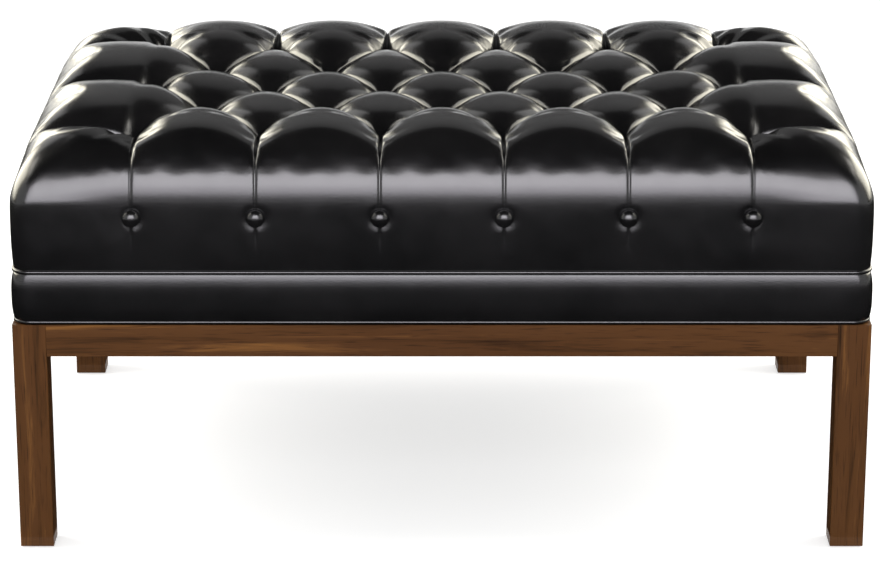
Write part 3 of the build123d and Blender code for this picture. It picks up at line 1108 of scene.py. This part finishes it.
    def press(self, grid: BorderGrid) -> np.ndarray:
        """How deep the tufts, the straight pleats and the side buttons press the border in.

        Args:
            grid: The plain border.

        Returns:
            The depth of each point.
        """
        plan, edge, tuft_depth = self.plan, self.edge, self.plan.tuft_depth
        apart = np.abs(grid.points[:, :, :2]) - (plan.tuft_half_length, plan.tuft_half_depth)
        opened = self.opening(grid, apart)
        ridge = self.ridges(grid)
        merge = ease(grid.travelled / edge.merge_length)
        form = self.pillows.swell(grid.share, grid.share) * (1 - merge) + ridge * merge
        leave = ease(grid.travelled / edge.well_length)
        deep = tuft_depth - (tuft_depth - grid.depths) * opened
        sunk = tuft_depth * (1 - leave) + deep * leave
        strength = np.clip(grid.depths / edge.pleat_depth, edge.fold_least, 1.0) ** edge.fold_fading
        strength = strength * np.clip(grid.depths / edge.fold_end, 0.0, 1.0)
        folded = self.pillows.fold(grid.nearest) * strength
        kept = 1.0 - grid.depths / tuft_depth * (1 - ridge)
        cornered = tuft_depth * (1 - leave) + tuft_depth * (1 - opened * kept) * leave + folded
        cornered += edge.rounding_drop * ease(apart.min(axis=2) / edge.rounding_reach) * grid.tops
        press = np.where(grid.corner, cornered, sunk * (1 - form) + folded)
        for places in plan.side_pleats().values():
            for place in places:
                distance = np.linalg.norm(grid.points - place, axis=2)
                reach = np.clip((distance - plan.button_radius) / edge.dimple_width, 0.0, edge.dimple_reach)
                press = np.maximum(press, plan.side_sink * np.exp(-(reach**edge.dimple_power)))
        return press

    def ridges(self, grid: BorderGrid) -> np.ndarray:
        """The height share of the ridges between the straight pleats: 0 on a pleat, 1 half way.

        Args:
            grid: The plain border.

        Returns:
            The height shares.
        """
        edge = self.edge
        widths = np.clip(grid.spans / self.plan.pitch, *edge.ridge_widths)
        power = self.pillows.power * widths * (1.0 + edge.side_flatness * (1.0 - grid.tops))
        ridge = pillow(grid.share, power) ** edge.ridge_curve
        rounded = pillow(grid.share, edge.rounding_power) ** edge.rounding_curve
        return np.where(grid.corner, rounded, ridge)

    def opening(self, grid: BorderGrid, apart: np.ndarray) -> np.ndarray:
        """How far the leather has opened out of the nearest outer tuft: 0 in it, 1 half a diamond away.

        Args:
            grid: The plain border.
            apart: How far each point lies beyond the outer tufts, in length and depth.

        Returns:
            The shares.
        """
        over = np.hypot(apart[:, :, 0], apart[:, :, 1]) + grid.travelled - np.maximum(apart.max(axis=2), 0.0)
        away = np.where(grid.corner, over, np.hypot(grid.nearest, grid.travelled))
        gentle = np.where(grid.corner, ease(grid.aside / self.edge.rounding_blend), 0.0)
        curve = self.pillows.crease_curve + (1.0 - self.pillows.crease_curve) * gentle
        slowed = away * (1.0 - self.edge.rounding_slowing * gentle)
        return pillow(np.clip(slowed / self.plan.diamond_side, 0.0, 0.5), self.pillows.power) ** curve

    def join_rings(self, inner: Sequence[int], outer: Sequence[int]) -> None:
        """Add the faces between two rings.

        Args:
            inner: The numbers of the first ring's points.
            outer: Those of the next ring.
        """
        count = len(inner)
        for i in range(count):
            j = (i + 1) % count
            if inner[i] == inner[j]:
                self.faces.append((inner[i], outer[i], outer[j]))
            else:
                self.faces.append((inner[i], outer[i], outer[j], inner[j]))

    def pocket(self, rim: Sequence[RimPlace], seam: Sequence[int]) -> None:
        """Close the cover under the seam with the pocket that holds the foam.

        Args:
            rim: The line round the outer tufts.
            seam: The numbers of the seam's points.
        """
        plan = self.plan
        hx, hy = plan.half_length - plan.foam_inset, plan.half_depth - plan.foam_inset
        mouth = self.ring(rim, hx, hy, self.pocket_corner)
        previous = list(seam)
        for level in (plan.seam_level, plan.seam_level + plan.foam_height):
            current = [self.point(x, y, level) for x, y in mouth]
            self.join_rings(previous, current)
            previous = current
        self.faces.append(tuple(reversed(previous)))

    def wrinkle(self, points: np.ndarray) -> None:
        """Add fine creases that run out of the tufts.

        Args:
            points: All points; they are moved.
        """
        radius = self.plan.button_radius
        top = points[:, 2] > self.plan.button_level
        for number, (tx, ty) in enumerate(self.plan.tufts()):
            dx, dy = points[:, 0] - tx, points[:, 1] - ty
            distance = np.hypot(dx, dy)
            near = top & (distance < self.wrinkle_reach) & (distance > radius)
            angle = np.arctan2(dy[near], dx[near])
            fade = np.exp(-(distance[near] - radius) / self.wrinkle_length)
            waves = sum(
                share * np.sin(count * angle + turn * number)
                for share, count, turn in self.wrinkle_waves
            )
            points[near, 2] += self.wrinkle_height * fade * waves

    def held(self, points: np.ndarray) -> np.ndarray:
        """How firmly each point is held while the leather settles.

        Args:
            points: All points.

        Returns:
            A weight from 0 to 1 for each.
        """
        plan, settling = self.plan, self.settling
        risen = (points[:, 2] - plan.turn_level - settling.free_rise) / settling.free_blend
        weights = 1.0 - ease(risen)
        for tx, ty in plan.tufts():
            distance = np.hypot(points[:, 0] - tx, points[:, 1] - ty)
            beyond = (distance - settling.tuft_hold) / settling.tuft_blend
            weights = np.maximum(weights, 1.0 - ease(beyond))
        return np.maximum(weights, np.array(self.pinned))

    def settled_shifts(self) -> tuple[np.ndarray, np.ndarray]:
        """Let a coarse copy of the leather swell and settle as cloth between what holds it.

        Returns:
            The copy's points before, and how far each has moved.
        """
        coarse = TuftedTop(self.plan, self.leather, steps=COARSE_STEPS)
        coarse.diamonds()
        coarse.border()
        points = np.array(coarse.points)
        weights = coarse.held(points)
        sheet = mesh_piece("settling_sheet", points, coarse.faces)
        group = sheet.vertex_groups.new(name="held")
        for number in np.flatnonzero(weights > 0.0).tolist():
            group.add([number], float(weights[number]), "REPLACE")
        make_active(sheet)
        cloth = sheet.modifiers.new("settling", "CLOTH")
        cloth.settings.vertex_group_mass = group.name
        self.settling.stiffen(cloth)
        for frame in range(1, self.settling.frames + 1):
            bpy.context.scene.frame_set(frame)
        bpy.ops.object.modifier_apply(modifier=cloth.name)
        moved = np.array([tuple(v.co) for v in sheet.data.vertices]) - points
        bpy.context.scene.frame_set(1)
        bpy.data.objects.remove(sheet)
        return points, moved

    def settle_leather(self, points: np.ndarray) -> None:
        """Carry the coarse copy's settling over to the leather.

        Args:
            points: All points; they are moved.
        """
        settling = self.settling
        places, moved = self.settled_shifts()
        tree = KDTree(len(places))
        for number, place in enumerate(places.tolist()):
            tree.insert(place, number)
        tree.balance()
        shifts = np.zeros_like(points)
        for number, point in enumerate(points.tolist()):
            near = tree.find_n(point, settling.neighbours)
            parts = np.array([1.0 / (gap + settling.nearness) ** 2 for _, _, gap in near])
            shifts[number] = parts @ moved[[index for _, index, _ in near]] / parts.sum()
        length = np.linalg.norm(shifts, axis=1, keepdims=True)
        shifts *= settling.most_swell / (settling.most_swell + length)
        points += shifts * (1.0 - self.held(points))[:, None]
        LOG.info("leather settled, moved at most %.4f m before the limit", float(length.max()))

    def build(self) -> None:
        """Make the cover and put it in its node's place."""
        self.diamonds()
        self.border()
        points = np.array(self.points)
        self.settle_leather(points)
        self.wrinkle(points)
        cover = mesh_piece("tufted_leather", points, self.faces)
        upholster(cover, "tufted_leather", self.leather, "tufted_cover")


# Buttons, piping and the plain border


@dataclass
class Buttons:
    """Leather-covered buttons: low domes whose leather is gathered under the rim."""

    plan: TuftPlan
    leather: bpy.types.Material
    height: float = 0.0068
    rim_drop: float = 0.0012
    skirt: float = 2.2
    gap: float = 0.0002
    segments: int = 28
    rings: int = 18

    def pattern(self) -> Piece:
        """Model one button, its rim on the origin's level and its dome up.

        Returns:
            The button.
        """
        deselect()
        radius = self.plan.button_radius
        bpy.ops.mesh.primitive_uv_sphere_add(segments=self.segments, ring_count=self.rings, radius=radius)
        button = bpy.context.active_object
        bpy.ops.object.mode_set(mode="EDIT")
        bpy.ops.mesh.select_all(action="SELECT")
        bpy.ops.mesh.bisect(
            plane_co=(0.0, 0.0, -self.skirt * self.rim_drop),
            plane_no=(0.0, 0.0, 1.0),
            use_fill=True,
            clear_inner=True,
        )
        bpy.ops.mesh.select_all(action="SELECT")
        bpy.ops.transform.resize(value=(1.0, 1.0, self.height / radius))
        bpy.ops.object.mode_set(mode="OBJECT")
        button.data.shade_smooth()
        settle(button)
        return button

    def place(self, name: str, node: str, spots: Sequence[Vector], facing: Vector) -> None:
        """Copy the button to a group of places and join the copies.

        Args:
            name: The new piece's name.
            node: The CAD node that it stands for.
            spots: The places of the rims.
            facing: The way the domes face.
        """
        pattern = self.pattern()
        turn = facing.to_track_quat("Z", "Y").to_matrix().to_4x4()
        copies = []
        for centre in spots:
            copy = pattern.copy()
            copy.data = pattern.data.copy()
            bpy.context.scene.collection.objects.link(copy)
            copy.data.transform(Matrix.Translation(centre) @ turn)
            copies.append(copy)
        bpy.data.objects.remove(pattern)
        group = copies[0]
        make_active(group)
        for copy in copies:
            copy.select_set(True)
        bpy.ops.object.join()
        upholster(group, name, self.leather, node)

    def build(self) -> None:
        """Make the top's buttons and those of the four sides."""
        plan = self.plan
        seat = plan.seat_level + self.rim_drop + self.gap
        top = [Vector((x, y, seat)) for x, y in plan.tufts().tolist()]
        self.place("tuft_buttons", "top_buttons", top, Vector((0.0, 0.0, 1.0)))
        facings = {"front": (0, -1, 0), "back": (0, 1, 0), "left": (-1, 0, 0), "right": (1, 0, 0)}
        sink = plan.side_sink - self.rim_drop - self.gap
        for side, places in plan.side_pleats().items():
            facing = Vector(facings[side])
            spots = [Vector(place) - facing * sink for place in places]
            self.place(f"{side}_side_buttons", f"{side}_buttons", spots, facing)


@dataclass
class Border:
    """The plain leather band between its two lines of piping."""

    leather: bpy.types.Material
    half_length: float = 0.455
    half_depth: float = 0.303
    corner: float = 0.018
    bottom: float = 0.254
    top: float = 0.312
    swell: float = 0.0032
    swell_power: int = 3
    thickness: float = 0.0069
    piping: float = 0.0023
    piping_roundness: int = 5
    lower_piping_level: float = 0.2567
    corner_segments: int = 10
    band_rings: int = 14
    fill: float = 0.7

    def outline(self, level: float) -> Piece:
        """A rounded rectangle of edges round the frame at one level.

        Args:
            level: Its height.

        Returns:
            An object that holds one closed line of edges.
        """
        deselect()
        bpy.ops.mesh.primitive_plane_add(size=2.0, location=(0.0, 0.0, level))
        outline = bpy.context.active_object
        bpy.ops.object.mode_set(mode="EDIT")
        bpy.ops.mesh.select_all(action="SELECT")
        bpy.ops.transform.resize(value=(self.half_length, self.half_depth, 1.0))
        bpy.ops.mesh.bevel(
            offset=self.corner,
            offset_type="OFFSET",
            segments=self.corner_segments,
            affect="VERTICES",
        )
        bpy.ops.mesh.select_all(action="SELECT")
        bpy.ops.mesh.delete(type="ONLY_FACE")
        bpy.ops.object.mode_set(mode="OBJECT")
        return outline

    def pipe(self, name: str, node: str, level: float) -> None:
        """Make one line of piping.

        Args:
            name: The piece's name.
            node: The CAD node that it stands for.
            level: The height of its middle.
        """
        self.outline(level)
        bpy.ops.object.convert(target="CURVE")
        curve = bpy.context.active_object
        curve.data.bevel_depth = self.piping
        curve.data.bevel_resolution = self.piping_roundness
        bpy.ops.object.convert(target="MESH")
        pipe = bpy.context.active_object
        settle(pipe)
        pipe.data.shade_smooth()
        upholster(pipe, name, self.leather, node)

    def raise_walls(self, band: Piece) -> None:
        """Draw the band's walls up from its outline, ring by ring.

        Args:
            band: The object that holds the outline.
        """
        step = (0.0, 0.0, (self.top - self.bottom) / self.band_rings)
        for _ in range(self.band_rings):
            bpy.ops.object.mode_set(mode="EDIT")
            bpy.ops.mesh.select_all(action="DESELECT")
            bpy.ops.object.mode_set(mode="OBJECT")
            crest = max(v.co.z for v in band.data.vertices)
            for edge in band.data.edges:
                ends = [band.data.vertices[i].co.z for i in edge.vertices]
                edge.select = min(ends) > crest - TOUCH
            bpy.ops.object.mode_set(mode="EDIT")
            bpy.ops.mesh.extrude_region_move(TRANSFORM_OT_translate={"value": step})
        bpy.ops.mesh.select_all(action="SELECT")
        bpy.ops.mesh.normals_make_consistent(inside=False)
        bpy.ops.object.mode_set(mode="OBJECT")

    def band(self) -> None:
        """Make the plain band, a little swollen between the pipings."""
        band = self.outline(self.bottom)
        self.raise_walls(band)
        settle(band)
        for vertex in band.data.vertices:
            share = (vertex.co.z - self.bottom) / (self.top - self.bottom)
            out = self.swell * (1.0 - abs(2.0 * share - 1.0) ** self.swell_power)
            for axis, half in enumerate((self.half_length, self.half_depth)):
                if abs(vertex.co[axis]) > half - self.corner:
                    vertex.co[axis] += math.copysign(out, vertex.co[axis])
        walls = band.modifiers.new("walls", "SOLIDIFY")
        walls.thickness = self.thickness
        walls.offset = -1.0
        bpy.ops.object.modifier_apply(modifier=walls.name)
        band.data.shade_smooth()
        upholster(band, "border_leather", self.leather, "border_band")

    def build(self) -> None:
        """Make the band and both pipings."""
        self.pipe("upper_piping", "upper_welt", self.top)
        self.pipe("lower_piping", "lower_welt", self.lower_piping_level)
        self.band()


# The base and the hidden frame keep their own solids


@dataclass(frozen=True)
class Dressing:
    """One finish, the record's material slot it belongs to and the kept nodes that wear it."""

    slot: str
    finish: Finish
    nodes: tuple[str, ...]


@dataclass
class Woodwork:
    """The walnut base, the hidden frame and the fittings, dressed as they are."""

    nodes: dict[str, Piece]

    def dressings(self) -> list[Dressing]:
        """What each kept node wears.

        Returns:
            The dressings.
        """
        along_x, along_y, along_z = GrainAxis.ALONG_X, GrainAxis.ALONG_Y, GrainAxis.ALONG_Z
        walnut = {axis: Walnut(f"walnut_{axis.name.lower()}", axis) for axis in GrainAxis}
        bare = {axis: BareWood(f"frame_wood_{axis.name.lower()}", axis) for axis in GrainAxis}
        cambric = Weave("black_cambric", (0.006, 0.006, 0.006), (0.022, 0.022, 0.022), 1100.0)
        twine = Weave("tufting_twine", (0.30, 0.22, 0.12), (0.55, 0.45, 0.29), 1500.0)
        legs = ("leg_front_left", "leg_front_right", "leg_back_left", "leg_back_right")
        screws = ("deck_screws", "corner_block_screws", "top_mounting_screws")
        return [
            Dressing("walnut", walnut[along_z], legs),
            Dressing("walnut", walnut[along_x], ("apron_front", "apron_back", "base_corner_blocks")),
            Dressing("walnut", walnut[along_y], ("apron_left", "apron_right")),
            Dressing("frame_wood", bare[along_x], ("frame_rail_front", "frame_rail_back", "deck")),
            Dressing("frame_wood", bare[along_y], ("frame_rail_left", "frame_rail_right", "frame_braces")),
            Dressing("frame_wood", bare[along_z], ("frame_corner_blocks",)),
            Dressing("foam", Foam(), ("foam_core",)),
            Dressing("cambric", cambric, ("dust_cover",)),
            Dressing("twine", twine, ("tufting_twines",)),
            Dressing("plastic", MouldedNylon(), ("twine_toggles", "foot_glides")),
            Dressing("steel", ZincSteel(), screws),
        ]

    def build(self) -> None:
        """Give every kept node its finish."""
        for dressing in self.dressings():
            material = dressing.finish.material()
            for name in dressing.nodes:
                node = self.nodes[name]
                if not node.material_slots:
                    node.data.materials.append(material)
                for slot in node.material_slots:
                    slot.material = material
                LOG.info("dressed %s", name)


# Studio


@dataclass(frozen=True)
class Lamp:
    """A soft box: its place, its width and height, its power in watts and its colour."""

    name: str
    place: Point
    size: tuple[float, float]
    power: float
    colour: Colour


@dataclass(frozen=True)
class Card:
    """A reflection card: its place, its width and height, what it faces, and its glow, 0 for black."""

    name: str
    place: Point
    size: tuple[float, float]
    aim: Point
    glow: float
    colour: Colour = (1.0, 1.0, 1.0)


LAMPS = (
    Lamp("left_softbox", (-2.1, 0.2, 1.6), (1.6, 1.3), 28.0, (1.0, 0.97, 0.90)),
    Lamp("right_softbox", (2.1, 0.2, 1.6), (1.6, 1.3), 28.0, (1.0, 0.97, 0.90)),
    Lamp("front_softbox", (0.0, -3.0, 1.6), (2.4, 1.6), 27.0, (1.0, 1.0, 1.0)),
)
WARM = (1.0, 0.95, 0.80)
CARDS = (
    Card("left_card", (-1.7, 0.9, 1.03), (2.8, 1.4), (0.0, 0.9, 1.03), 8.5, WARM),
    Card("back_left_card", (-1.45, 2.9, 0.90), (1.0, 1.1), (0.0, 0.0, 0.7), 5.5, WARM),
    Card("right_card", (1.7, 0.9, 1.03), (2.8, 1.4), (0.0, 0.9, 1.03), 8.5, WARM),
    Card("back_right_card", (1.45, 2.9, 0.90), (1.0, 1.1), (0.0, 0.0, 0.7), 5.5, WARM),
    Card("front_card", (0.0, -3.2, 1.57), (4.6, 2.8), (0.0, 0.0, 1.57), 6.4, (0.96, 0.93, 1.0)),
    Card("back_card", (0.0, 3.4, 2.5), (3.2, 3.2), (0.0, 0.0, 2.5), 0.22),
    Card("overhead_card", (0.0, 0.0, 3.6), (7.0, 6.6), (0.0, 0.0, 0.0), 0.0),
    Card("floor_card", (0.0, 0.0, 0.012), (7.0, 6.6), (0.0, 0.0, 2.0), 0.0),
)


@dataclass
class Studio:
    """Floor, soft lamps and the camera at the photograph's place."""

    distance: float = 3.304
    front: float = 0.305
    camera_side: float = -0.002
    camera_height: float = 1.347
    pitch: float = 17.6
    lens: float = 134.0
    sensor: float = 36.0
    floor_half: float = 30.0
    floor_lift: float = 0.58
    sky_light: float = 0.55
    seen_sky: float = 1.0
    card_fade: float = 0.22
    aim: Point = (0.0, 0.0, 0.42)

    def floor(self) -> None:
        """Make the pale floor, a little brighter to the rays that see than to those that light."""
        deselect()
        bpy.ops.mesh.primitive_plane_add(size=2 * self.floor_half)
        floor = bpy.context.active_object
        floor.name = "studio_floor"
        graph = MaterialGraph("studio_floor")
        mottle = graph.noise(graph.place(), scale=3.0)
        tone = graph.ramp(mottle, "Fac", ((0.3, (0.90, 0.90, 0.90)), (0.7, (0.93, 0.93, 0.93))))
        graph.feed(tone, "Color", "Base Color")
        graph.surface(Roughness=0.9, Specular_IOR_Level=0.1, Emission_Color=(1.0, 1.0, 1.0))
        lift = graph.spread(graph.seeing_rays(), "Value", 0.0, self.floor_lift, start=0.0, end=1.0)
        graph.feed(lift, "Result", "Emission Strength")
        dress(floor, graph.material)

    def world(self) -> None:
        """Light the world softly, and let it be seen white behind the object."""
        world = bpy.data.worlds.new("studio_world")
        bpy.context.scene.world = world
        world.use_nodes = True
        graph = NodeGraph(world.node_tree)
        output = graph.add("ShaderNodeOutputWorld")
        choice = graph.add("ShaderNodeMixShader")
        graph.join(graph.seeing_rays(), 0, choice, 0)
        for number, strength in enumerate((self.sky_light, self.seen_sky), start=1):
            sky = graph.add("ShaderNodeBackground", {"Color": (1.0, 1.0, 1.0, 1.0), "Strength": strength})
            graph.join(sky, 0, choice, number)
        graph.join(choice, 0, output, "Surface")

    def add_lamp(self, lamp: Lamp) -> None:
        """Add a soft box that faces the seat.

        Args:
            lamp: The soft box.
        """
        light = bpy.data.lights.new(lamp.name, "AREA")
        light.shape = "RECTANGLE"
        light.size, light.size_y = lamp.size
        light.energy = lamp.power
        light.color = lamp.colour
        box = bpy.data.objects.new(lamp.name, light)
        box.location = lamp.place
        aim = Vector(self.aim) - Vector(lamp.place)
        box.rotation_euler = aim.to_track_quat("-Z", "Y").to_euler()
        box.visible_camera = False
        bpy.context.scene.collection.objects.link(box)

    def fade_edges(self, graph: MaterialGraph, glow: float) -> None:
        """Let a card's glow fall off softly towards its four edges.

        Args:
            graph: The card's material graph.
            glow: How bright its middle is.
        """
        folded = graph.add("ShaderNodeVectorMath", operation="ABSOLUTE")
        split = graph.add("ShaderNodeSeparateXYZ")
        product = graph.add("ShaderNodeMath", operation="MULTIPLY")
        graph.join(graph.place(), "Vector", folded, 0)
        graph.join(folded, "Vector", split, "Vector")
        for number, axis in enumerate("XY"):
            edge = graph.spread(split, axis, 1.0, 0.0, start=0.5 - self.card_fade, end=0.5)
            edge.interpolation_type = "SMOOTHSTEP"
            graph.join(edge, "Result", product, number)
        strength = graph.spread(product, "Value", 0.0, glow, start=0.0, end=1.0)
        graph.feed(strength, "Result", "Emission Strength")

    def add_card(self, card: Card) -> None:
        """Add a reflection card, light or dark, that only glossy surfaces see.

        Args:
            card: The card.
        """
        deselect()
        bpy.ops.mesh.primitive_plane_add(size=1.0)
        sheet = bpy.context.active_object
        sheet.name = card.name
        sheet.scale = (*card.size, 1.0)
        sheet.location = card.place
        aim = Vector(card.aim) - Vector(card.place)
        sheet.rotation_euler = aim.to_track_quat("Z", "Y").to_euler()
        graph = MaterialGraph(card.name)
        graph.surface(Base_Color=(0.0, 0.0, 0.0), Roughness=1.0, Specular_IOR_Level=0.0)
        graph.surface(Emission_Color=card.colour, Emission_Strength=card.glow)
        if card.glow > 0.0:
            self.fade_edges(graph, card.glow)
        dress(sheet, graph.material)
        sheet.visible_camera = False
        sheet.visible_shadow = False
        sheet.visible_diffuse = False
        sheet.visible_transmission = False

    def camera(self) -> None:
        """Set the camera at the photograph's viewpoint."""
        data = bpy.data.cameras.new("photo_camera")
        data.lens = self.lens
        data.sensor_width = self.sensor
        camera = bpy.data.objects.new("photo_camera", data)
        camera.location = (self.camera_side, -(self.front + self.distance), self.camera_height)
        camera.rotation_euler = (math.radians(90.0 - self.pitch), 0.0, 0.0)
        bpy.context.scene.collection.objects.link(camera)
        bpy.context.scene.camera = camera

    def build(self) -> None:
        """Make the floor, the world, the lamps, the cards and the camera."""
        self.floor()
        self.world()
        for lamp in LAMPS:
            self.add_lamp(lamp)
        for card in CARDS:
            self.add_card(card)
        self.camera()
        bpy.context.scene.view_settings.view_transform = "Standard"


def main() -> None:
    """Load the frame, dress it and build the pieces around it."""
    logging.basicConfig(level=logging.INFO, format="%(message)s")
    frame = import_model()
    leather = Leather().material()
    plan = TuftPlan()
    steps: list[tuple[str, Callable[[], None]]] = [
        ("tufted top", TuftedTop(plan, leather).build),
        ("buttons", Buttons(plan, leather).build),
        ("border", Border(leather).build),
        ("woodwork", Woodwork(frame["nodes"]).build),
        ("studio", Studio().build),
    ]
    for name, build in steps:
        build()
        LOG.info("built %s", name)


if __name__ == "__main__":
    main()
